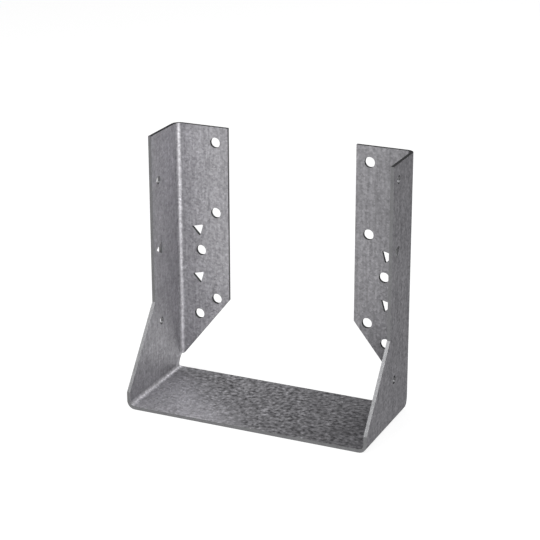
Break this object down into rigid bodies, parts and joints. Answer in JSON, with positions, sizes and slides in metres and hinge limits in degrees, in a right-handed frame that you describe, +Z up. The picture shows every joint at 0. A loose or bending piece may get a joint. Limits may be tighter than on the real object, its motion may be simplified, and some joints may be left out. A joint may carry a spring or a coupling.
{
  "type": "concealed flange joist hanger",
  "caption": "Folded steel joist hanger: a flat seat and two side plates hold the end of a timber, and flanges turned inwards behind it are nailed to the header.",
  "frame": {"origin": "middle of the footprint, on the underside of the seat", "axes": "+X across the timber, +Y towards the header, +Z up"},
  "size_m": [0.1436, 0.0654, 0.1495],
  "materials": {
    "galvanised": "hot-dip galvanised sheet with a fine spangle, satin, with bare sheared edges"
  },
  "bodies": {
    "root": {"hanger": "galvanised"}
  },
  "joints": []
}
